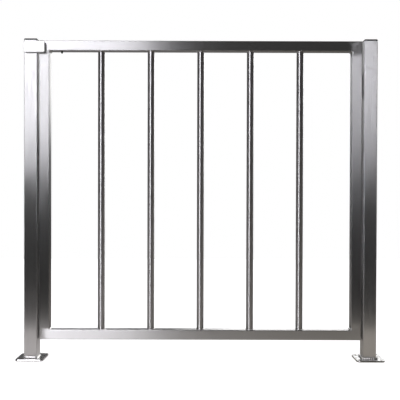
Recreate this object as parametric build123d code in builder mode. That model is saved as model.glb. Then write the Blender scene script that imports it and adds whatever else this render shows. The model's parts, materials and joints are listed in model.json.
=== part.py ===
"""Waist-high swing gate: two floor-mounted posts and a barred leaf, in millimetres.

The origin is the middle of the hinge post's foot, on the floor. X runs along the gate
with the latch post on the minus side, Y runs from the front to the back, and Z is up.
"""

import os

from build123d import *

# Layout
clear_width = 980.0  # between the inner faces of the posts
post_top = 960.0  # floor to the top of the post tubes and of the leaf
floor_clearance = 60.0  # floor to the underside of the leaf
side_gap = 5.0  # between the leaf and each post

# Post tubes
post_size = 40.0
post_wall = 2.0
post_inner_corner = 1.0

# Floor plates and the weld round each post's foot
plate_size = 84.0
plate_thickness = 5.0
plate_corner = 10.0
plate_bevel_drop = 2.2  # height of the steep bevel round the top
plate_bevel_in = 0.9
anchor_edge = 10.0  # middle of each anchor hole to the plate's sides
anchor_hole = 9.0
weld_leg = 5.0
weld_land = 0.8
weld_corner = 4.0  # cut off the corners of the weld's toe

# Push-in post caps
cap_height = 5.0
cap_edge = 2.0
skirt_depth = 20.0
skirt_wall = 2.0
skirt_gap = 1.6  # skirt to the tube's inside
fin_clearance = 0.2  # fins to the tube's inside
fin_height = 1.4
fin_pitch = 5.0
fin_count = 3

# Leaf frame and bars
leaf_tube = 30.0
leaf_wall = 1.5
leaf_corner = 2.5
bar_diameter = 21.3
bar_wall = 1.5
bar_pitch = 150.0
bar_count = 5

# Vent plug under the top rail
plug_offset = 35.0  # from the inside of the latch stile
plug_head = 6.0
plug_drop = 6.0
plug_edge = 1.2
plug_stem = 4.0
plug_stem_length = 6.0
plug_clearance = 0.1

# Stop block on the front of the latch post
stop_width = 62.0
stop_height = 32.0
stop_depth = 12.0
stop_corner = 5.0
stop_edge = 1.2
stop_inset = 2.0  # from the outer side of the post
stop_drop = 6.0  # from the top of the post tube

# Lift-off hinges behind the hinge post
hinge_inset = 130.0  # leaf's top or bottom to the middle of each hinge
hinge_inboard = 2.0  # leaf's side to the hinge axis
hinge_standoff = 10.0  # back of the post to the hinge axis
pin_diameter = 8.0
pin_clearance = 0.05
pin_socket = 24.0
pin_short = 2.0  # below the top of the leaf knuckle
pin_chamfer = 1.0
knuckle_diameter = 14.0
knuckle_length = 36.0
washer_thickness = 1.5
washer_bore_clearance = 0.2
knuckle_play = 0.3
lug_height = 26.0
lug_setback = 6.0  # from the knuckle's meeting face
lug_foot = 3.0
post_lug_width = 30.0
leaf_lug_width = 20.0

# Places that follow from the sizes above
post_corner = post_inner_corner + post_wall
post_bore = post_size - 2 * post_wall
post_back = post_size / 2
anchor_spacing = plate_size - 2 * anchor_edge
hinge_post_x = 0.0
latch_post_x = -(clear_width + post_size)
leaf_right = hinge_post_x - post_size / 2 - side_gap
leaf_left = latch_post_x + post_size / 2 + side_gap
leaf_width = leaf_right - leaf_left
leaf_middle = (leaf_left + leaf_right) / 2
leaf_bottom = floor_clearance
leaf_top = post_top
leaf_height = leaf_top - leaf_bottom
leaf_bore = leaf_tube - 2 * leaf_wall
leaf_back = leaf_tube / 2
axis_x = leaf_right - hinge_inboard
axis_y = post_back + hinge_standoff

os.makedirs("parts", exist_ok=True)


def save(piece, name):
    """Label a finished piece and write it to the parts folder."""
    piece.part.label = name
    export_step(piece.part, f"parts/{name}.step")


# Posts, with their feet and caps
for side, post_x in (("hinge", hinge_post_x), ("latch", latch_post_x)):
    with BuildPart() as base_plate:
        with BuildSketch(Plane(origin=(post_x, 0, 0))):
            RectangleRounded(plate_size, plate_size, plate_corner)
            with GridLocations(anchor_spacing, anchor_spacing, 2, 2):
                Circle(anchor_hole / 2, mode=Mode.SUBTRACT)
        extrude(amount=plate_thickness)
        plate_face = base_plate.faces().sort_by(Axis.Z)[-1]
        bevelled = plate_face.outer_wire().edges()
        chamfer(bevelled, plate_bevel_in, plate_bevel_drop, reference=plate_face)
    save(base_plate, f"{side}_base_plate")

    with BuildPart() as post:
        with BuildSketch(Plane(origin=(post_x, 0, plate_thickness))):
            RectangleRounded(post_size, post_size, post_corner)
            RectangleRounded(post_bore, post_bore, post_inner_corner, mode=Mode.SUBTRACT)
        extrude(amount=post_top - plate_thickness)
    save(post, f"{side}_post")

    with BuildPart() as foot_weld:
        with BuildSketch(Plane(origin=(post_x, 0, plate_thickness))):
            toe = Rectangle(post_size + 2 * weld_leg, post_size + 2 * weld_leg)
            chamfer(toe.vertices(), weld_corner)
            RectangleRounded(post_size, post_size, post_corner, mode=Mode.SUBTRACT)
        extrude(amount=weld_leg)
        chamfer(foot_weld.faces().sort_by(Axis.Z)[-1].outer_wire().edges(), weld_leg - weld_land)
    save(foot_weld, f"{side}_foot_weld")

    skirt_size = post_bore - 2 * skirt_gap
    skirt_bore = skirt_size - 2 * skirt_wall
    fin_size = post_bore - 2 * fin_clearance
    fin_planes = [Plane(origin=(post_x, 0, post_top - fin_pitch * (n + 1))) for n in range(fin_count)]
    with BuildPart() as post_cap:
        with BuildSketch(Plane(origin=(post_x, 0, post_top))):
            RectangleRounded(post_size, post_size, post_corner)
        extrude(amount=cap_height)
        chamfer(post_cap.faces().sort_by(Axis.Z)[-1].edges(), cap_edge)
        with BuildSketch(Plane(origin=(post_x, 0, post_top))):
            Rectangle(skirt_size, skirt_size)
            Rectangle(skirt_bore, skirt_bore, mode=Mode.SUBTRACT)
        extrude(amount=-skirt_depth)
        with BuildSketch(*fin_planes):
            fin = Rectangle(fin_size, fin_size)
            chamfer(fin.vertices(), post_inner_corner)
            Rectangle(skirt_bore, skirt_bore, mode=Mode.SUBTRACT)
        extrude(amount=-fin_height)
    save(post_cap, f"{side}_post_cap")

# Stop block, welded to the front of the latch post and reaching over the leaf's edge
stop_x = latch_post_x - post_size / 2 + stop_inset + stop_width / 2
stop_z = post_top - stop_drop - stop_height / 2
with BuildPart() as stop_block:
    with BuildSketch(Plane(origin=(stop_x, -post_size / 2, stop_z), x_dir=(1, 0, 0), z_dir=(0, -1, 0))):
        RectangleRounded(stop_width, stop_height, stop_corner)
    extrude(amount=stop_depth)
    chamfer(stop_block.faces().sort_by(Axis.Y)[0].edges(), stop_edge)
save(stop_block, "stop_block")

# Leaf frame: four square tubes with mitred corners
mitres = {
    "top_left": Plane(origin=(leaf_left, 0, leaf_top), z_dir=(1, 0, 1)),
    "top_right": Plane(origin=(leaf_right, 0, leaf_top), z_dir=(-1, 0, 1)),
    "bottom_left": Plane(origin=(leaf_left, 0, leaf_bottom), z_dir=(1, 0, -1)),
    "bottom_right": Plane(origin=(leaf_right, 0, leaf_bottom), z_dir=(-1, 0, -1)),
}
plug_x = leaf_left + leaf_tube + plug_offset
rail_underside = leaf_top - leaf_tube

for name, rail_z, ends in (
    ("top_rail", leaf_top - leaf_tube / 2, ("top_left", "top_right")),
    ("bottom_rail", leaf_bottom + leaf_tube / 2, ("bottom_left", "bottom_right")),
):
    with BuildPart() as rail:
        with BuildSketch(Plane(origin=(leaf_left, 0, rail_z), x_dir=(0, 1, 0), z_dir=(1, 0, 0))):
            RectangleRounded(leaf_tube, leaf_tube, leaf_corner)
            Rectangle(leaf_bore, leaf_bore, mode=Mode.SUBTRACT)
        extrude(amount=leaf_width)
        for end in ends:
            split(bisect_by=mitres[end], keep=Keep.TOP)
        if name == "top_rail":
            with Locations((plug_x, 0, rail_underside + leaf_wall)):
                Hole(plug_stem / 2 + plug_clearance, depth=leaf_wall)
    save(rail, name)

for name, stile_x, ends in (
    ("latch_stile", leaf_left + leaf_tube / 2, ("top_left", "bottom_left")),
    ("hinge_stile", leaf_right - leaf_tube / 2, ("top_right", "bottom_right")),
):
    with BuildPart() as stile:
        with BuildSketch(Plane(origin=(stile_x, 0, leaf_bottom))):
            RectangleRounded(leaf_tube, leaf_tube, leaf_corner)
            Rectangle(leaf_bore, leaf_bore, mode=Mode.SUBTRACT)
        extrude(amount=leaf_height)
        for end in ends:
            split(bisect_by=mitres[end], keep=Keep.BOTTOM)
    save(stile, name)

# Upright bars, butted between the rails
for number in range(bar_count):
    bar_x = leaf_middle + (number - (bar_count - 1) / 2) * bar_pitch
    with BuildPart() as bar:
        with BuildSketch(Plane(origin=(bar_x, 0, leaf_bottom + leaf_tube))):
            Circle(bar_diameter / 2)
            Circle(bar_diameter / 2 - bar_wall, mode=Mode.SUBTRACT)
        extrude(amount=leaf_height - 2 * leaf_tube)
    save(bar, f"bar_{number + 1}")

# Vent plug, pushed up into the top rail
with BuildPart() as vent_plug:
    with BuildSketch(Plane(origin=(plug_x, 0, rail_underside))):
        Circle(plug_head / 2)
    extrude(amount=-plug_drop)
    chamfer(vent_plug.faces().sort_by(Axis.Z)[0].edges(), plug_edge)
    with BuildSketch(Plane(origin=(plug_x, 0, rail_underside))):
        Circle(plug_stem / 2)
    extrude(amount=plug_stem_length)
save(vent_plug, "vent_plug")

# Hinges: a post knuckle with a fixed pin, a thrust washer and a leaf knuckle on top
for level, meeting_z in (("lower", leaf_bottom + hinge_inset), ("upper", leaf_top - hinge_inset)):
    knuckle_bottom = meeting_z + washer_thickness + knuckle_play

    with BuildPart() as post_knuckle:
        with BuildSketch(Plane(origin=(axis_x, axis_y, meeting_z))):
            Circle(knuckle_diameter / 2)
        extrude(amount=-knuckle_length)
        with BuildSketch(Plane(origin=(0, 0, meeting_z - lug_setback))):
            with Locations((axis_x, axis_y)):
                Circle(knuckle_diameter / 2)
            with Locations((hinge_post_x - post_size / 2 + post_corner, post_back)):
                Rectangle(post_lug_width, lug_foot, align=(Align.MIN, Align.MIN))
            make_hull()
        extrude(amount=-lug_height)
        with Locations((axis_x, axis_y, meeting_z)):
            Hole(pin_diameter / 2, depth=pin_socket)
    save(post_knuckle, f"{level}_post_knuckle")

    with BuildPart() as hinge_washer:
        with BuildSketch(Plane(origin=(axis_x, axis_y, meeting_z))):
            Circle(knuckle_diameter / 2)
            Circle(pin_diameter / 2 + washer_bore_clearance, mode=Mode.SUBTRACT)
        extrude(amount=washer_thickness)
    save(hinge_washer, f"{level}_hinge_washer")

    with BuildPart() as hinge_pin:
        with BuildSketch(Plane(origin=(axis_x, axis_y, meeting_z - pin_socket))):
            Circle(pin_diameter / 2)
        extrude(amount=pin_socket + (knuckle_bottom - meeting_z) + knuckle_length - pin_short)
        chamfer(hinge_pin.faces().sort_by(Axis.Z)[-1].edges(), pin_chamfer)
    save(hinge_pin, f"{level}_hinge_pin")

    with BuildPart() as leaf_knuckle:
        with BuildSketch(Plane(origin=(axis_x, axis_y, knuckle_bottom))):
            Circle(knuckle_diameter / 2)
        extrude(amount=knuckle_length)
        with BuildSketch(Plane(origin=(0, 0, knuckle_bottom + lug_setback))):
            with Locations((axis_x, axis_y)):
                Circle(knuckle_diameter / 2)
            with Locations((leaf_right - leaf_corner, leaf_back)):
                Rectangle(leaf_lug_width, lug_foot, align=(Align.MAX, Align.MIN))
            make_hull()
        extrude(amount=lug_height)
        with Locations((axis_x, axis_y, knuckle_bottom + knuckle_length)):
            Hole(pin_diameter / 2 + pin_clearance, depth=knuckle_length)
    save(leaf_knuckle, f"{level}_leaf_knuckle")
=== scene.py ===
"""Looks of the waist-high swing gate: satin stainless tube, black caps and welded feet.

Everything is in metres, in the frame of the solids: the origin is the middle of the
hinge post's foot, X runs along the gate, Y from front to back, and Z is up.
"""

import json
import math

import bpy
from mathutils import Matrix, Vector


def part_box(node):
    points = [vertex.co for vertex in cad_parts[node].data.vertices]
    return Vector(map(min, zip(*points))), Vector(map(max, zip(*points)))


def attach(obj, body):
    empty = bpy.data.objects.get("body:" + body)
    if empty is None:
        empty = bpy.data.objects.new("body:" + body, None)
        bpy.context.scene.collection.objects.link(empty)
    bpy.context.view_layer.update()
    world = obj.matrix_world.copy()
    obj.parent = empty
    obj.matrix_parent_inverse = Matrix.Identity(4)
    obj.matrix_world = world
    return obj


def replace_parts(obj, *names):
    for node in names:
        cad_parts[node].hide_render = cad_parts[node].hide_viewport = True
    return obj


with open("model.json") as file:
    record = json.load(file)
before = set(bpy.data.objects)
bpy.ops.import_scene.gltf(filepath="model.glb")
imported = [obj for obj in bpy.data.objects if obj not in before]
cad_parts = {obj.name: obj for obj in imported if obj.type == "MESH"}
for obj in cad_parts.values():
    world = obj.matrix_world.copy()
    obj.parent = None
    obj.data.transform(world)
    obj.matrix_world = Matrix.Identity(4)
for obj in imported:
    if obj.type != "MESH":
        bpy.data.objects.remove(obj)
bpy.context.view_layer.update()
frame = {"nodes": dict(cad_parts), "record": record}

# Places read from the solids
POST_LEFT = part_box("hinge_post")[0][0]
POST_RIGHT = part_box("hinge_post")[1][0]
POST_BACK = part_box("hinge_post")[1][1]
POST_HALF = (POST_RIGHT - POST_LEFT) / 2
LATCH_POST_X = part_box("latch_post")[0][0] + POST_HALF
PLATE_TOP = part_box("hinge_base_plate")[1][2]
LEAF_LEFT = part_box("bottom_rail")[0][0]
LEAF_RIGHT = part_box("bottom_rail")[1][0]
LEAF_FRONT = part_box("bottom_rail")[0][1]
LEAF_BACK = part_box("bottom_rail")[1][1]
LEAF_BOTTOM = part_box("bottom_rail")[0][2]
LEAF_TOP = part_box("top_rail")[1][2]
OPENING_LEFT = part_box("latch_stile")[1][0]
OPENING_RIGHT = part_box("hinge_stile")[0][0]
OPENING_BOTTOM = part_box("bottom_rail")[1][2]
OPENING_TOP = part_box("top_rail")[0][2]
LEAF_TUBE = OPENING_BOTTOM - LEAF_BOTTOM
BAR_NAMES = ["bar_1", "bar_2", "bar_3", "bar_4", "bar_5"]
BAR_RADIUS = (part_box("bar_1")[1][0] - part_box("bar_1")[0][0]) / 2
GATE_MIDDLE_X = (LATCH_POST_X + POST_LEFT + POST_HALF) / 2

# Sizes of the tubes' corners and hinge lugs that a box can't give
POST_CORNER = 0.003
LEAF_CORNER = 0.0025
LUG_SETBACK = 0.006  # from the knuckle's end to the lug
LUG_HEIGHT = 0.026
POST_LUG_LEFT = POST_LEFT + POST_CORNER
POST_LUG_WIDTH = 0.030
LEAF_LUG_RIGHT = LEAF_RIGHT - LEAF_CORNER
LEAF_LUG_WIDTH = 0.020

# Welds
BEAD_SIDES = 12
RIPPLE = (-0.10, 0.06, 0.02)  # how much each ring along one ripple swells
FOOT_RIPPLE = (-0.22, -0.06, 0.07, 0.12, 0.07, -0.06)
BEAD_TAPER = (0.02, 0.6, 0.9)  # fullness of a short bead's end rings
FOOT_BEAD = 0.0036  # radius, as for the other beads
FOOT_BEAD_SINK = 0.0013  # bead's middle from the post and the plate
BAR_BEAD = 0.0016
CORNER_BEAD = 0.0032
CORNER_INSET = 0.002  # bead's ends from the tube's front and back
LUG_BEAD = 0.0020
BEAD_SINK = 0.0004
BEAD_MERGE = 0.00012  # points closer than this become one
BEAD_SMOOTH = math.radians(60)
SIDE_RINGS = 30  # along one side of a post's foot
BEND_RINGS = 6  # round one corner of it
BAR_RINGS = 60
SHORT_RINGS = 24
FILLET_LEG = 0.005
FILLET_RINGS = 10
FILLET_BENDS = 8
FILLET_MERGE = 0.00001
FILLET_SMOOTH = math.radians(50)
ON_PLATE = 0.0001  # a face this near to the plate's top lies on it

# Where the leaf's polishing lines change direction
LATCH_POLISH = (0.001, 0.026)  # from the leaf's side, the stile's lines end and the rails' begin
HINGE_POLISH = (0.024, 0.042)
HINGE_CROSSING = 0.78  # share of the rails' scratches left on the hinge stile's ends
LATCH_REACH = 0.006  # how far the rails' polish reaches along each stile
HINGE_REACH = 0.024
SCRATCH = 0.0002  # size of one scratch where both directions mix

# The photograph's viewpoint, measured from the middle of the gate
CAMERA_ASIDE = 0.0007
CAMERA_DISTANCE = 1.9805
CAMERA_HEIGHT = 0.5009
CAMERA_PITCH = math.radians(0.552)
CAMERA_ROLL = math.radians(0.169)
CAMERA_YAW = math.radians(0.059)
SENSOR_WIDTH = 36.0
FRAME_WIDTH = 400
FOCAL_PIXELS = 653.4

# Studio
FLOOR_FRONT = -0.47
FLOOR_BACK = 3.0
FLOOR_HALF_WIDTH = 3.0
FLOOR_MATTE = (0.85, 0.85, 0.85)
FLOOR_WHITE = 0.62  # added for the camera, over the lit sheet
FLOOR_POOL_LEFT = 0.74  # brightness of the painted pool of light in the steel, at the latch post
FLOOR_POOL_RIGHT = 0.46
FLOOR_POOL_LEFT_TINT = (1.0, 0.95, 0.95)
FLOOR_POOL_RIGHT_TINT = (1.0, 0.92, 0.83)
FLOOR_DIM_DEPTH = 0.35  # painted shade: the pool dims over this depth behind the gate
FLOOR_DIM_SHARE = 0.35
FLAG_FRONT = -3.2
FLAG_BACK = 3.2
FLAG_LEFT = -4.2
FLAG_RIGHT = 3.2
FLAG_TOP = 4.0
FLAG_DROP = 0.01  # below the floor sheet
FLAG_GLOWS = {  # by the direction of each side
    (0, -1, 0): ("front_flag", 0.055),
    (0, 1, 0): ("back_flag", 0.13),
    (-1, 0, 0): ("left_flag", 0.06),
    (1, 0, 0): ("right_flag", 0.045),
    (0, 0, -1): ("dark_floor_flag", 0.045),
    (0, 0, 1): ("top_flag", 0.13),
}
SOFTBOX_PLACE = (-1.935, -3.0, 1.84)
SOFTBOX_SIZE = (2.03, 2.32)
SOFTBOX_CUT = (-1.90, 1.25)  # the lower corner's cut: its start along the bottom, its height
SOFTBOX_RADIANCE = 6.4
SOFTBOX_TINT = (0.955, 0.945, 1.0)
SOFTBOX_LOWER_SHARE = 1.20  # brightness of the lower edge, against the rest
SOFTBOX_LOWER_FADE = (0.68, 0.95)  # heights between which it changes
BACK_CARD_PLACE = (0.725, 3.15, 1.5)
BACK_CARD_SIZE = (2.95, 3.0)
BACK_CARD_RADIANCE = 5.4
BACK_CARD_LOWER_SHARE = 0.10
BACK_CARD_LOWER_FADE = (0.85, 1.30)
BACK_CARD_EDGE_SHARE = 0.1  # along its foot and its left-hand edge
BACK_CARD_FOOT_FADE = (0.18, 0.50)
BACK_CARD_LEFT_FADE = (-0.75, -0.20)
FILL_LIGHT = 0.6
WHITE = (1.0, 1.0, 1.0)

# Metals and their finish
STEEL = (0.60, 0.598, 0.595)
LEAF_STEEL = (0.525, 0.523, 0.52)
# painted light: a lighter copy of the leaf's steel for the bottom rail, standing in for its
# brighter reflections
LOWER_RAIL_PAINTED_LIGHT_STEEL = (0.675, 0.672, 0.667)
PLATE_STEEL = (0.50, 0.495, 0.49)
MATT_STEEL = (0.74, 0.74, 0.74)
WELD_STEEL = (0.76, 0.75, 0.735)
WELD_STRAW = (0.70, 0.66, 0.59)
BRASS = (0.75, 0.55, 0.25)
CAP_DARK = (0.002, 0.002, 0.0025)
CAP_LIGHT = (0.005, 0.005, 0.0055)
CLOUD_SHADE = 0.94  # the clouds' tone, against the metal's
CLOUD_BREAKUP = 0.62
POST_POLISH = 0.0010  # depth of the satin lines
STILE_POLISH = 0.0004
BAR_POLISH = 0.000001
FINE_POLISH = 0.00001
ALONG_RAIL = (6.0, 1400.0, 1400.0)  # lines per metre on each axis, so few along the lines
ALONG_POST = (1400.0, 1400.0, 6.0)
ROUND_BAR = (30.0, 30.0, 900.0)
ROUND_KNUCKLE = (40.0, 40.0, 1200.0)
ROUND_WASHER = (60.0, 60.0, 900.0)
DOWN_BLOCK = (900.0, 900.0, 12.0)
GRINDER_MARKS = (260.0, 420.0, 260.0)
BUFFING_MARKS = (180.0, 180.0, 180.0)
LENGTHWISE = 0.0  # turn of the grain about the upright axis
ROUND = 0.25


def feed(owner, target, values):
    """Sets a node's inputs: each value is a constant or another node's output."""
    for name, value in values.items():
        if isinstance(value, bpy.types.NodeSocket):
            owner.node_tree.links.new(value, target.inputs[name])
        else:
            target.inputs[name].default_value = value


def add_node(owner, kind, values, **settings):
    """Adds one shader node to a material or world."""
    node = owner.node_tree.nodes.new(kind)
    for name, value in settings.items():
        setattr(node, name, value)
    feed(owner, node, values)
    return node


def reckon(owner, operation, first, second):
    """Result of one arithmetic node."""
    node = add_node(owner, "ShaderNodeMath", {0: first, 1: second}, operation=operation)
    return node.outputs["Value"]


def two_tones(owner, factor, dark, light, start=0.3, end=0.7):
    """Colour ramp between two tones."""
    ramp = add_node(owner, "ShaderNodeValToRGB", {"Fac": factor})
    ramp.color_ramp.elements[0].position = start
    ramp.color_ramp.elements[0].color = (*dark, 1.0)
    ramp.color_ramp.elements[1].position = end
    ramp.color_ramp.elements[1].color = (*light, 1.0)
    return ramp.outputs["Color"]


def noise(owner, place, scale, detail):
    """Cloudy pattern on the piece's own coordinates."""
    values = {"Vector": place, "Scale": scale, "Detail": detail, "Roughness": CLOUD_BREAKUP}
    return add_node(owner, "ShaderNodeTexNoise", values).outputs["Fac"]


def soft_step(owner, value, start, end, low=0.0, high=1.0):
    """Eased step from the low at the start to the high at the end."""
    ends = {"Value": value, "From Min": start, "From Max": end, "To Min": low, "To Max": high}
    node = add_node(owner, "ShaderNodeMapRange", ends, interpolation_type="SMOOTHSTEP")
    return node.outputs["Result"]


def polishing_lines(owner, place, stretch):
    """Fine lines, long where the stretch is small."""
    drawn = add_node(owner, "ShaderNodeMapping", {"Vector": place, "Scale": stretch})
    return noise(owner, drawn.outputs["Vector"], scale=1.0, detail=4.0)


def new_material(name):
    """A material with its main shader and the piece's own coordinates."""
    material = bpy.data.materials.new(name)
    material.use_nodes = True
    place = add_node(material, "ShaderNodeTexCoord", {})
    return material, material.node_tree.nodes["Principled BSDF"], place


def cloudy_tint(material, spot, tint):
    """A metal's colour, with faint darker clouds."""
    clouds = noise(material, spot, scale=7.0, detail=3.0)
    return two_tones(material, clouds, tuple(CLOUD_SHADE * c for c in tint), tint)


def relief(material, height, depth, strength=1.0):
    """Surface directions of a fine relief."""
    values = {"Height": height, "Strength": strength, "Distance": depth}
    return add_node(material, "ShaderNodeBump", values).outputs["Normal"]


def satin(material, shader, lines, colour, normal, roughness, spread):
    """Metal whose roughness follows the polishing lines."""
    polish = add_node(material, "ShaderNodeMapRange", {
        "Value": lines, "From Min": 0.3, "From Max": 0.7,
        "To Min": roughness - spread, "To Max": roughness + spread,
    })
    feed(material, shader, {
        "Metallic": 1.0, "Base Color": colour,
        "Roughness": polish.outputs["Result"], "Normal": normal,
    })


def radial_grain(material, shader, anisotropy, turn):
    """Polishing direction about the upright axis."""
    flow = add_node(material, "ShaderNodeTangent", {}, direction_type="RADIAL", axis="Z")
    feed(material, shader, {
        "Anisotropic": anisotropy, "Anisotropic Rotation": turn, "Tangent": flow.outputs["Tangent"],
    })


def upright_steel():
    """Post tube, polished along its length."""
    material, shader, place = new_material("upright_steel")
    spot = place.outputs["Object"]
    lines = polishing_lines(material, spot, ALONG_POST)
    colour = cloudy_tint(material, spot, STEEL)
    normal = relief(material, lines, POST_POLISH)
    satin(material, shader, lines, colour, normal, roughness=0.31, spread=0.03)
    radial_grain(material, shader, 1.0, LENGTHWISE)
    return material


def bar_steel():
    """Round bar, polished round its girth."""
    material, shader, place = new_material("bar_steel")
    spot = place.outputs["Object"]
    lines = polishing_lines(material, spot, ROUND_BAR)
    colour = cloudy_tint(material, spot, STEEL)
    normal = relief(material, lines, BAR_POLISH)
    satin(material, shader, lines, colour, normal, roughness=0.38, spread=0.01)
    radial_grain(material, shader, 1.0, ROUND)
    return material


def leaf_steel():
    """Leaf frame, polished along each tube, the stiles last, so their lines cross the corners."""
    material, shader, place = new_material("leaf_steel")
    spot = place.outputs["Object"]
    apart = add_node(material, "ShaderNodeSeparateXYZ", {"Vector": spot})
    x, z = apart.outputs["X"], apart.outputs["Z"]

    # How much of the rails' direction is left at each place
    from_bottom = reckon(material, "SUBTRACT", z, LEAF_BOTTOM)
    from_top = reckon(material, "SUBTRACT", LEAF_TOP, z)
    from_end = reckon(material, "MINIMUM", from_bottom, from_top)
    from_left = reckon(material, "SUBTRACT", x, LEAF_LEFT)
    from_right = reckon(material, "SUBTRACT", LEAF_RIGHT, x)
    past_latch = soft_step(material, from_left, *LATCH_POLISH)
    past_hinge = soft_step(material, from_right, *HINGE_POLISH, HINGE_CROSSING)
    latch_reach, hinge_reach = LEAF_TUBE + LATCH_REACH, LEAF_TUBE + HINGE_REACH
    reach = soft_step(material, x, LEAF_LEFT, LEAF_RIGHT, latch_reach, hinge_reach)
    past_rail = soft_step(material, from_end, reach, LEAF_TUBE)
    between = reckon(material, "MULTIPLY", past_latch, past_hinge)
    level = reckon(material, "MULTIPLY", between, past_rail)
    turned = reckon(material, "SUBTRACT", 1.0, level)

    # Lines, relief and colour, with painted light that makes the bottom rail's steel lighter
    along_rail = polishing_lines(material, spot, ALONG_RAIL)
    along_stile = polishing_lines(material, spot, ALONG_POST)
    mixed = {"Factor": turned, "A": along_rail, "B": along_stile}
    lines = add_node(material, "ShaderNodeMix", mixed).outputs["Result"]
    ridges = reckon(material, "MULTIPLY", along_stile, turned)
    normal = relief(material, ridges, STILE_POLISH)
    # Painted light: the rails' colour turns lighter towards the bottom rail
    painted_light_low_down = soft_step(material, z, OPENING_TOP, OPENING_BOTTOM)
    colour = add_node(material, "ShaderNodeMixRGB", {
        "Fac": reckon(material, "MULTIPLY", level, painted_light_low_down),
        "Color1": cloudy_tint(material, spot, LEAF_STEEL),
        "Color2": cloudy_tint(material, spot, LOWER_RAIL_PAINTED_LIGHT_STEEL),
    })
    satin(material, shader, lines, colour.outputs["Color"], normal, roughness=0.37, spread=0.03)

    # Each fine scratch runs one way or the other
    cell = {0: spot, 1: (SCRATCH, SCRATCH, SCRATCH)}
    cells = add_node(material, "ShaderNodeVectorMath", cell, operation="SNAP")
    scratches = add_node(material, "ShaderNodeTexWhiteNoise", {"Vector": cells.outputs["Vector"]})
    along = reckon(material, "GREATER_THAN", level, scratches.outputs["Value"])
    upright = reckon(material, "SUBTRACT", 1.0, along)
    grain = add_node(material, "ShaderNodeCombineXYZ", {"X": along, "Z": upright})
    across = add_node(
        material, "ShaderNodeVectorMath",
        {0: place.outputs["Normal"], 1: grain.outputs["Vector"]}, operation="CROSS_PRODUCT",
    )
    in_scene = add_node(
        material, "ShaderNodeVectorTransform", {"Vector": across.outputs["Vector"]},
        vector_type="VECTOR", convert_from="OBJECT", convert_to="WORLD",
    )
    feed(material, shader, {"Anisotropic": 1.0, "Tangent": in_scene.outputs["Vector"]})
    return material


def ground_plate_steel():
    """Latch post's floor plate: dull, with marks from the grinder."""
    material, shader, place = new_material("ground_plate_steel")
    spot = place.outputs["Object"]
    marks = polishing_lines(material, spot, GRINDER_MARKS)
    colour = cloudy_tint(material, spot, STEEL)
    dents = noise(material, spot, scale=160.0, detail=3.0)
    normal = relief(material, dents, depth=0.0006, strength=0.25)
    satin(material, shader, marks, colour, normal, roughness=0.26, spread=0.10)
    return material


def polished_plate_steel():
    """Hinge post's floor plate: bright and slightly wavy."""
    material, shader, place = new_material("polished_plate_steel")
    spot = place.outputs["Object"]
    marks = polishing_lines(material, spot, BUFFING_MARKS)
    colour = cloudy_tint(material, spot, PLATE_STEEL)
    waves = noise(material, spot, scale=95.0, detail=2.0)
    normal = relief(material, waves, depth=0.0012, strength=0.8)
    satin(material, shader, marks, colour, normal, roughness=0.15, spread=0.05)
    return material


def block_steel():
    """Stop block, brushed and then blasted to a pale matt."""
    material, shader, place = new_material("block_steel")
    spot = place.outputs["Object"]
    lines = polishing_lines(material, spot, DOWN_BLOCK)
    colour = cloudy_tint(material, spot, MATT_STEEL)
    normal = relief(material, lines, FINE_POLISH)
    satin(material, shader, lines, colour, normal, roughness=0.42, spread=0.04)
    feed(material, shader, {"Metallic": 0.3})
    return material


def turned_steel():
    """Hinge knuckles and pins, turned and polished."""
    material, shader, place = new_material("turned_steel")
    spot = place.outputs["Object"]
    lines = polishing_lines(material, spot, ROUND_KNUCKLE)
    colour = cloudy_tint(material, spot, STEEL)
    normal = relief(material, lines, FINE_POLISH)
    satin(material, shader, lines, colour, normal, roughness=0.30, spread=0.03)
    radial_grain(material, shader, 0.7, ROUND)
    return material


def weld_steel():
    """Brushed weld metal, bright with a straw tint in places."""
    material, shader, place = new_material("weld_steel")
    spot = place.outputs["Object"]
    grains = noise(material, spot, scale=420.0, detail=3.0)
    straw = noise(material, spot, scale=60.0, detail=2.0)
    colour = two_tones(material, straw, WELD_STEEL, WELD_STRAW, start=0.52, end=0.8)
    normal = relief(material, grains, FINE_POLISH)
    satin(material, shader, grains, colour, normal, roughness=0.38, spread=0.06)
    return material


def washer_brass():
    """Thrust ring, plain turned brass."""
    material, shader, place = new_material("washer_brass")
    spot = place.outputs["Object"]
    lines = polishing_lines(material, spot, ROUND_WASHER)
    colour = cloudy_tint(material, spot, BRASS)
    normal = relief(material, lines, FINE_POLISH)
    satin(material, shader, lines, colour, normal, roughness=0.30, spread=0.04)
    return material


def cap_plastic():
    """Moulded black plastic with a fine even grain."""
    material, shader, place = new_material("cap_plastic")
    grain = noise(material, place.outputs["Object"], scale=1400.0, detail=2.0)
    feed(material, shader, {
        "Roughness": 0.5,
        "Specular IOR Level": 0.05,
        "Base Color": two_tones(material, grain, CAP_DARK, CAP_LIGHT, start=0.2, end=0.8),
        "Normal": relief(material, grain, depth=0.0001, strength=0.12),
    })
    return material


leaf_finish = leaf_steel()
post_finish = upright_steel()
weld_finish = weld_steel()
finish_of_slot = {
    "post_steel": post_finish,
    "stile_steel": leaf_finish,
    "rail_steel": leaf_finish,
    "bar_steel": bar_steel(),
    "plate_steel": polished_plate_steel(),
    "stop_steel": block_steel(),
    "hinge_steel": turned_steel(),
    "weld_steel": weld_finish,
    "washer_brass": washer_brass(),
    "black_plastic": cap_plastic(),
}
for subpart in frame["record"]["subparts"]:
    node = frame["nodes"][subpart["node"]]
    node.material_slots[0].material = finish_of_slot[subpart["material_slot"]]
frame["nodes"]["latch_base_plate"].material_slots[0].material = ground_plate_steel()


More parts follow.
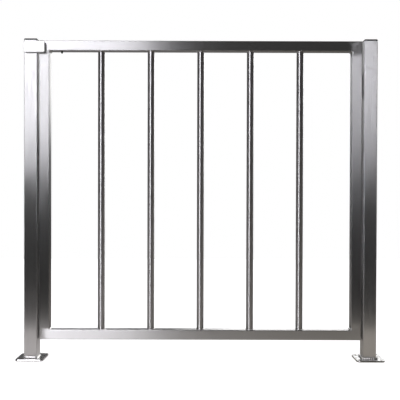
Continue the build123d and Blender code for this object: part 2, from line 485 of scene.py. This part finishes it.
def draw_bead(name, stations, height, radius, body):
    """Weld bead drawn out ring by ring along stations of x, y, heading and fullness."""
    bpy.ops.object.select_all(action="DESELECT")
    x, y, heading, fullness = stations[0]
    bpy.ops.mesh.primitive_circle_add(
        vertices=BEAD_SIDES, radius=radius * fullness, location=(x, y, height),
        rotation=(0.0, math.radians(90), heading),
    )
    bead = bpy.context.object
    bead.name = name
    bpy.ops.object.transform_apply(location=True, rotation=True, scale=True)
    bpy.ops.object.mode_set(mode="EDIT")
    bpy.ops.mesh.select_all(action="SELECT")
    for before, after in zip(stations, stations[1:]):
        step = (after[0] - before[0], after[1] - before[1], 0.0)
        place = (after[0], after[1], height)
        swell = after[3] / before[3]
        bpy.ops.mesh.extrude_region_move(TRANSFORM_OT_translate={"value": step})
        bpy.ops.transform.rotate(value=before[2] - after[2], orient_axis="Z", center_override=place)
        bpy.ops.transform.resize(value=(swell, swell, swell), center_override=place)
    bpy.ops.mesh.select_all(action="SELECT")
    bpy.ops.mesh.remove_doubles(threshold=BEAD_MERGE)
    bpy.ops.mesh.normals_make_consistent(inside=False)
    bpy.ops.object.mode_set(mode="OBJECT")
    bpy.ops.object.shade_smooth_by_angle(angle=BEAD_SMOOTH)
    bead.data.materials.append(weld_finish)
    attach(bead, body)
    return bead


def copy_bead(bead, name, shift, body):
    """Copy of a bead with its own mesh, moved to its place."""
    bpy.ops.object.select_all(action="DESELECT")
    twin = bead.copy()
    twin.data = bead.data.copy()
    twin.name = name
    bpy.context.scene.collection.objects.link(twin)
    twin.select_set(True)
    bpy.context.view_layer.objects.active = twin
    twin.location = shift
    bpy.ops.object.transform_apply(location=True, rotation=False, scale=False)
    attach(twin, body)
    return twin


def rippled(points, ripple=RIPPLE):
    """Adds the weld's ripples to a list of x, y and heading."""
    return [(*point, 1.0 + ripple[n % len(ripple)]) for n, point in enumerate(points)]


def foot_path(post_x):
    """Round a post's foot from the left of its front, side by side and corner by corner."""
    half = POST_HALF + FOOT_BEAD_SINK
    bend = POST_CORNER + FOOT_BEAD_SINK
    run = 2 * (half - bend)
    points = []
    for side in range(4):
        heading = side * math.pi / 2
        ahead = (math.cos(heading), math.sin(heading))
        out = (math.sin(heading), -math.cos(heading))
        for n in range(SIDE_RINGS):
            s = run * (n / SIDE_RINGS - 0.5)
            points.append((
                post_x + out[0] * half + ahead[0] * s,
                out[1] * half + ahead[1] * s,
                heading,
            ))
        for n in range(BEND_RINGS):
            angle = n / BEND_RINGS * math.pi / 2
            reach_out = half - bend + bend * math.cos(angle)
            reach_ahead = run / 2 + bend * math.sin(angle)
            points.append((
                post_x + out[0] * reach_out + ahead[0] * reach_ahead,
                out[1] * reach_out + ahead[1] * reach_ahead,
                heading + angle,
            ))
    first = points[0]
    return points + [(first[0], first[1], 2 * math.pi)]


def ring_path(centre_x, radius):
    """Round a bar's end."""
    points = []
    for n in range(BAR_RINGS + 1):
        angle = 2 * math.pi * n / BAR_RINGS
        x, y = centre_x + radius * math.cos(angle), radius * math.sin(angle)
        points.append((x, y, angle + math.pi / 2))
    return points


def straight_stations(start, end, heading):
    """A short straight bead with tapered ends."""
    points = []
    for n in range(SHORT_RINGS + 1):
        t = n / SHORT_RINGS
        x, y = start[0] + (end[0] - start[0]) * t, start[1] + (end[1] - start[1]) * t
        points.append((x, y, heading))
    stations = rippled(points)
    for n, share in enumerate(BEAD_TAPER):
        stations[n] = (*stations[n][:3], share)
        stations[-1 - n] = (*stations[-1 - n][:3], share)
    return stations


def draw_fillet(name, post_x):
    """Hollow fillet round a post's foot, drawn up from its toe and closed against the post."""
    toe = POST_HALF + FILLET_LEG
    inside = POST_HALF - BEAD_SINK
    middle = (post_x, 0.0, PLATE_TOP)
    bpy.ops.object.select_all(action="DESELECT")
    bpy.ops.mesh.primitive_plane_add(size=2 * toe, location=middle)
    fillet = bpy.context.object
    fillet.name = name
    bpy.ops.object.transform_apply(location=True, rotation=False, scale=True)
    bpy.ops.object.mode_set(mode="EDIT")
    bpy.ops.mesh.select_all(action="SELECT")
    corner = POST_CORNER + FILLET_LEG
    bpy.ops.mesh.bevel(offset=corner, segments=FILLET_BENDS, affect="VERTICES")
    bpy.ops.mesh.select_all(action="SELECT")
    reach, height = toe, 0.0
    for n in range(1, FILLET_RINGS + 1):
        angle = n / FILLET_RINGS * math.pi / 2
        next_reach = toe - FILLET_LEG * math.sin(angle)
        next_height = FILLET_LEG * (1 - math.cos(angle))
        swell = next_reach / reach
        step = (0.0, 0.0, next_height - height)
        bpy.ops.mesh.extrude_region_move(TRANSFORM_OT_translate={"value": step})
        bpy.ops.transform.resize(value=(swell, swell, 1.0), center_override=middle)
        reach, height = next_reach, next_height
    swell = inside / reach
    bpy.ops.mesh.extrude_region_move(TRANSFORM_OT_translate={"value": (0.0, 0.0, 0.0)})
    bpy.ops.transform.resize(value=(swell, swell, 1.0), center_override=middle)
    bpy.ops.mesh.extrude_region_move(TRANSFORM_OT_translate={"value": (0.0, 0.0, -height)})
    bpy.ops.mesh.select_all(action="DESELECT")
    bpy.ops.object.mode_set(mode="OBJECT")
    for face in fillet.data.polygons:
        face.select = len(face.vertices) > 4 and abs(face.center.z - PLATE_TOP) < ON_PLATE
    bpy.ops.object.mode_set(mode="EDIT")
    bpy.ops.mesh.select_mode(type="FACE")
    bpy.ops.mesh.delete(type="ONLY_FACE")
    bpy.ops.mesh.select_mode(type="EDGE")
    bpy.ops.mesh.select_all(action="DESELECT")
    bpy.ops.mesh.select_non_manifold()
    bpy.ops.mesh.bridge_edge_loops()
    bpy.ops.mesh.select_mode(type="VERT")
    bpy.ops.mesh.select_all(action="SELECT")
    bpy.ops.mesh.remove_doubles(threshold=FILLET_MERGE)
    bpy.ops.mesh.normals_make_consistent(inside=False)
    bpy.ops.object.mode_set(mode="OBJECT")
    bpy.ops.object.shade_smooth_by_angle(angle=FILLET_SMOOTH)
    fillet.data.materials.append(weld_finish)
    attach(fillet, "posts")
    return fillet


def foot_welds():
    """Weld round each post's foot, rippled at the hinge post and dressed at the latch post."""
    ripples = rippled(foot_path(0.0), FOOT_RIPPLE)
    height = PLATE_TOP + FOOT_BEAD_SINK
    bead = draw_bead("hinge_foot_bead", ripples, height, FOOT_BEAD, "posts")
    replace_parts(bead, "hinge_foot_weld")
    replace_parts(draw_fillet("latch_foot_fillet", LATCH_POST_X), "latch_foot_weld")


def bar_end_welds():
    """Small weld ring at both ends of each bar."""
    first_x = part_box("bar_1")[0][0] + BAR_RADIUS
    stations = rippled(ring_path(first_x, BAR_RADIUS + BEAD_SINK))
    height = OPENING_BOTTOM + BEAD_SINK
    first = draw_bead("bar_1_lower_weld", stations, height, BAR_BEAD, "leaf")
    rise = OPENING_TOP - OPENING_BOTTOM - 2 * BEAD_SINK
    for name in BAR_NAMES:
        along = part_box(name)[0][0] + BAR_RADIUS - first_x
        if name != "bar_1":
            copy_bead(first, f"{name}_lower_weld", (along, 0.0, 0.0), "leaf")
        copy_bead(first, f"{name}_upper_weld", (along, 0.0, rise), "leaf")


def corner_welds():
    """Weld across the tube in each inside corner of the leaf frame."""
    left, right = OPENING_LEFT + BEAD_SINK, OPENING_RIGHT - BEAD_SINK
    low, high = OPENING_BOTTOM + BEAD_SINK, OPENING_TOP - BEAD_SINK
    front, back = LEAF_FRONT + CORNER_INSET, LEAF_BACK - CORNER_INSET
    stations = straight_stations((left, front), (left, back), math.pi / 2)
    first = draw_bead("lower_latch_corner_weld", stations, low, CORNER_BEAD, "leaf")
    copy_bead(first, "upper_latch_corner_weld", (0.0, 0.0, high - low), "leaf")
    copy_bead(first, "lower_hinge_corner_weld", (right - left, 0.0, 0.0), "leaf")
    copy_bead(first, "upper_hinge_corner_weld", (right - left, 0.0, high - low), "leaf")


def lug_welds():
    """Weld along the top and bottom of each hinge lug's foot."""
    lower_post_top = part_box("lower_post_knuckle")[1][2]
    lower_leaf_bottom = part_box("lower_leaf_knuckle")[0][2]
    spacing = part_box("upper_post_knuckle")[1][2] - lower_post_top
    post_bottom = lower_post_top - LUG_SETBACK - LUG_HEIGHT
    leaf_bottom = lower_leaf_bottom + LUG_SETBACK
    leaf_lug_left = LEAF_LUG_RIGHT - LEAF_LUG_WIDTH
    runs = (
        ("post", "posts", POST_LUG_LEFT, POST_LUG_WIDTH, POST_BACK, post_bottom),
        ("leaf", "leaf", leaf_lug_left, LEAF_LUG_WIDTH, LEAF_BACK, leaf_bottom),
    )
    for owner, body, left, width, back, bottom in runs:
        y = back + BEAD_SINK
        stations = straight_stations((left, y), (left + width, y), 0.0)
        under = bottom - BEAD_SINK
        first = draw_bead(f"lower_{owner}_lug_under_weld", stations, under, LUG_BEAD, body)
        over = LUG_HEIGHT + 2 * BEAD_SINK
        copy_bead(first, f"lower_{owner}_lug_over_weld", (0.0, 0.0, over), body)
        copy_bead(first, f"upper_{owner}_lug_under_weld", (0.0, 0.0, spacing), body)
        copy_bead(first, f"upper_{owner}_lug_over_weld", (0.0, 0.0, spacing + over), body)


foot_welds()
bar_end_welds()
corner_welds()
lug_welds()


def studio_floor():
    """Pale floor sheet with the gate's soft shadow, and a painted pool of light for the steel to
    mirror.
    """
    bpy.ops.object.select_all(action="DESELECT")
    bpy.ops.mesh.primitive_plane_add(size=1.0)
    floor = bpy.context.object
    floor.name = "studio_floor"
    floor.scale = (2 * FLOOR_HALF_WIDTH, FLOOR_BACK - FLOOR_FRONT, 1.0)
    floor.location = (GATE_MIDDLE_X, (FLOOR_FRONT + FLOOR_BACK) / 2, 0.0)
    bpy.ops.object.transform_apply(location=True, rotation=False, scale=True)

    sheet = bpy.data.materials.new("pale_floor")
    sheet.use_nodes = True
    sheet.node_tree.nodes.remove(sheet.node_tree.nodes["Principled BSDF"])
    place = add_node(sheet, "ShaderNodeTexCoord", {})
    apart = add_node(sheet, "ShaderNodeSeparateXYZ", {"Vector": place.outputs["Object"]})
    # Painted pool of light: a glow only reflections see, dimmer to the right and with painted shade
    # behind the gate
    along = add_node(sheet, "ShaderNodeMapRange", {
        "Value": apart.outputs["X"], "From Min": LATCH_POST_X, "From Max": 0.0,
    }).outputs["Result"]
    across = add_node(sheet, "ShaderNodeMapRange", {
        "Value": along, "To Min": FLOOR_POOL_LEFT, "To Max": FLOOR_POOL_RIGHT,
    })
    tint = two_tones(sheet, along, FLOOR_POOL_LEFT_TINT, FLOOR_POOL_RIGHT_TINT, start=0.0, end=1.0)
    behind = add_node(sheet, "ShaderNodeMapRange", {
        "Value": apart.outputs["Y"], "From Min": 0.0, "From Max": FLOOR_DIM_DEPTH,
        "To Min": 1.0, "To Max": FLOOR_DIM_SHARE,
    })
    pool_level = reckon(sheet, "MULTIPLY", across.outputs["Result"], behind.outputs["Result"])
    pool = add_node(sheet, "ShaderNodeEmission", {"Color": tint, "Strength": pool_level})
    matte = add_node(sheet, "ShaderNodeBsdfDiffuse", {"Color": (*FLOOR_MATTE, 1.0)})
    white = add_node(sheet, "ShaderNodeEmission", {"Strength": FLOOR_WHITE})
    lit = add_node(sheet, "ShaderNodeAddShader", {
        0: matte.outputs["BSDF"], 1: white.outputs["Emission"],
    })
    path = add_node(sheet, "ShaderNodeLightPath", {})
    glossy, through = path.outputs["Is Glossy Ray"], path.outputs["Is Transmission Ray"]
    mirrored = reckon(sheet, "MAXIMUM", glossy, through)
    seen = add_node(sheet, "ShaderNodeMixShader", {
        "Fac": path.outputs["Is Camera Ray"], 1: matte.outputs["BSDF"], 2: lit.outputs["Shader"],
    })
    shown = add_node(sheet, "ShaderNodeMixShader", {
        "Fac": mirrored, 1: seen.outputs["Shader"], 2: pool.outputs["Emission"],
    })
    feed(sheet, sheet.node_tree.nodes["Material Output"], {"Surface": shown.outputs["Shader"]})
    floor.data.materials.append(sheet)


def glow_card(name, level):
    """Evenly bright card material."""
    card = bpy.data.materials.new(name)
    card.use_nodes = True
    card.node_tree.nodes.remove(card.node_tree.nodes["Principled BSDF"])
    glow = add_node(card, "ShaderNodeEmission", {"Strength": level})
    feed(card, card.node_tree.nodes["Material Output"], {"Surface": glow.outputs["Emission"]})
    return card


def fading_cloth(name, tint, radiance, fades):
    """Glowing cloth. Each fade is an axis, its two ends and the shares of brightness there."""
    cloth = bpy.data.materials.new(name)
    cloth.use_nodes = True
    cloth.node_tree.nodes.remove(cloth.node_tree.nodes["Principled BSDF"])
    place = add_node(cloth, "ShaderNodeTexCoord", {})
    apart = add_node(cloth, "ShaderNodeSeparateXYZ", {"Vector": place.outputs["Object"]})
    level = radiance
    for axis, start, end, first_share, last_share in fades:
        share = add_node(cloth, "ShaderNodeMapRange", {
            "Value": apart.outputs[axis], "From Min": start, "From Max": end,
            "To Min": first_share, "To Max": last_share,
        })
        level = reckon(cloth, "MULTIPLY", share.outputs["Result"], level)
    glow = add_node(cloth, "ShaderNodeEmission", {"Color": (*tint, 1.0), "Strength": level})
    feed(cloth, cloth.node_tree.nodes["Material Output"], {"Surface": glow.outputs["Emission"]})
    return cloth


def only_mirrored(card):
    """Leaves a card to the steel's reflections alone."""
    card.visible_camera = False
    card.visible_diffuse = False
    card.visible_shadow = False


def upright_card(name, place, size):
    """Flat card standing across the studio."""
    bpy.ops.object.select_all(action="DESELECT")
    bpy.ops.mesh.primitive_plane_add(size=1.0, rotation=(math.radians(90), 0.0, 0.0))
    card = bpy.context.object
    card.name = name
    card.scale = (size[0], size[1], 1.0)
    card.location = place
    bpy.ops.object.transform_apply(location=True, rotation=True, scale=True)
    return card


def studio_flags():
    """Dark flags round the studio and a bright card far back, for the steel to mirror."""
    bpy.ops.object.select_all(action="DESELECT")
    bpy.ops.mesh.primitive_cube_add(size=1.0)
    flags = bpy.context.object
    flags.name = "studio_flags"
    flags.scale = (FLAG_RIGHT - FLAG_LEFT, FLAG_BACK - FLAG_FRONT, FLAG_TOP)
    flags.location = (
        (FLAG_LEFT + FLAG_RIGHT) / 2, (FLAG_FRONT + FLAG_BACK) / 2, FLAG_TOP / 2 - FLAG_DROP,
    )
    bpy.ops.object.transform_apply(location=True, rotation=False, scale=True)
    facings = list(FLAG_GLOWS)
    for facing in facings:
        flags.data.materials.append(glow_card(*FLAG_GLOWS[facing]))
    for face in flags.data.polygons:
        face.material_index = facings.index(tuple(round(c) for c in face.normal))
    only_mirrored(flags)

    back_card = upright_card("back_card", BACK_CARD_PLACE, BACK_CARD_SIZE)
    fades = (
        ("Z", *BACK_CARD_LOWER_FADE, BACK_CARD_LOWER_SHARE, 1.0),
        ("Z", *BACK_CARD_FOOT_FADE, BACK_CARD_EDGE_SHARE, 1.0),
        ("X", *BACK_CARD_LEFT_FADE, BACK_CARD_EDGE_SHARE, 1.0),
    )
    cloth = fading_cloth("back_card_white", WHITE, BACK_CARD_RADIANCE, fades)
    back_card.data.materials.append(cloth)
    only_mirrored(back_card)


def softbox():
    """Large soft lamp on the left behind the camera. Its screen has one lower corner cut off."""
    lamp = bpy.data.lights.new("softbox", "AREA")
    lamp.shape = "RECTANGLE"
    lamp.size, lamp.size_y = SOFTBOX_SIZE
    lamp.color = SOFTBOX_TINT
    lamp.energy = SOFTBOX_RADIANCE * math.pi * lamp.size * lamp.size_y
    holder = bpy.data.objects.new("softbox", lamp)
    holder.location = SOFTBOX_PLACE
    holder.rotation_euler = (math.radians(90), 0.0, 0.0)
    holder.visible_glossy = False
    bpy.context.scene.collection.objects.link(holder)

    screen = upright_card("softbox_screen", SOFTBOX_PLACE, SOFTBOX_SIZE)
    run = SOFTBOX_PLACE[0] + SOFTBOX_SIZE[0] / 2 - SOFTBOX_CUT[0]
    rise = SOFTBOX_CUT[1] - (SOFTBOX_PLACE[2] - SOFTBOX_SIZE[1] / 2)
    corner = (SOFTBOX_CUT[0], SOFTBOX_PLACE[1], SOFTBOX_CUT[1] - rise)
    bpy.ops.object.mode_set(mode="EDIT")
    bpy.ops.mesh.select_all(action="SELECT")
    bpy.ops.mesh.bisect(plane_co=corner, plane_no=(rise, 0.0, -run), clear_outer=True)
    bpy.ops.object.mode_set(mode="OBJECT")
    fades = (("Z", *SOFTBOX_LOWER_FADE, SOFTBOX_LOWER_SHARE, 1.0),)
    cloth = fading_cloth("softbox_cloth", SOFTBOX_TINT, SOFTBOX_RADIANCE, fades)
    screen.data.materials.append(cloth)
    only_mirrored(screen)


def studio_world():
    """White all round for what the camera and reflections see, and a soft fill for the rest."""
    world = bpy.data.worlds.new("studio")
    bpy.context.scene.world = world
    world.use_nodes = True
    fill = world.node_tree.nodes["Background"]
    feed(world, fill, {"Color": (*WHITE, 1.0), "Strength": FILL_LIGHT})
    white = add_node(world, "ShaderNodeBackground", {"Color": (*WHITE, 1.0), "Strength": 1.0})
    path = add_node(world, "ShaderNodeLightPath", {})
    glossy, through = path.outputs["Is Glossy Ray"], path.outputs["Is Transmission Ray"]
    mirrored = reckon(world, "MAXIMUM", glossy, through)
    seen = reckon(world, "MAXIMUM", path.outputs["Is Camera Ray"], mirrored)
    shown = add_node(world, "ShaderNodeMixShader", {
        "Fac": seen, 1: fill.outputs["Background"], 2: white.outputs["Background"],
    })
    feed(world, world.node_tree.nodes["World Output"], {"Surface": shown.outputs["Shader"]})


def photo_camera():
    """Camera at the photograph's place, looking almost square at the gate."""
    lens = bpy.data.cameras.new("photo_camera")
    lens.sensor_fit = "HORIZONTAL"
    lens.sensor_width = SENSOR_WIDTH
    lens.lens = FOCAL_PIXELS / FRAME_WIDTH * SENSOR_WIDTH
    lens.clip_start = 0.05
    lens.clip_end = 50.0
    camera = bpy.data.objects.new("photo_camera", lens)
    camera.location = (GATE_MIDDLE_X + CAMERA_ASIDE, -CAMERA_DISTANCE, CAMERA_HEIGHT)
    camera.rotation_euler = (math.radians(90) - CAMERA_PITCH, -CAMERA_ROLL, CAMERA_YAW)
    bpy.context.scene.collection.objects.link(camera)
    bpy.context.scene.camera = camera


studio_floor()
studio_flags()
softbox()
studio_world()
photo_camera()
bpy.context.scene.view_settings.view_transform = "Standard"
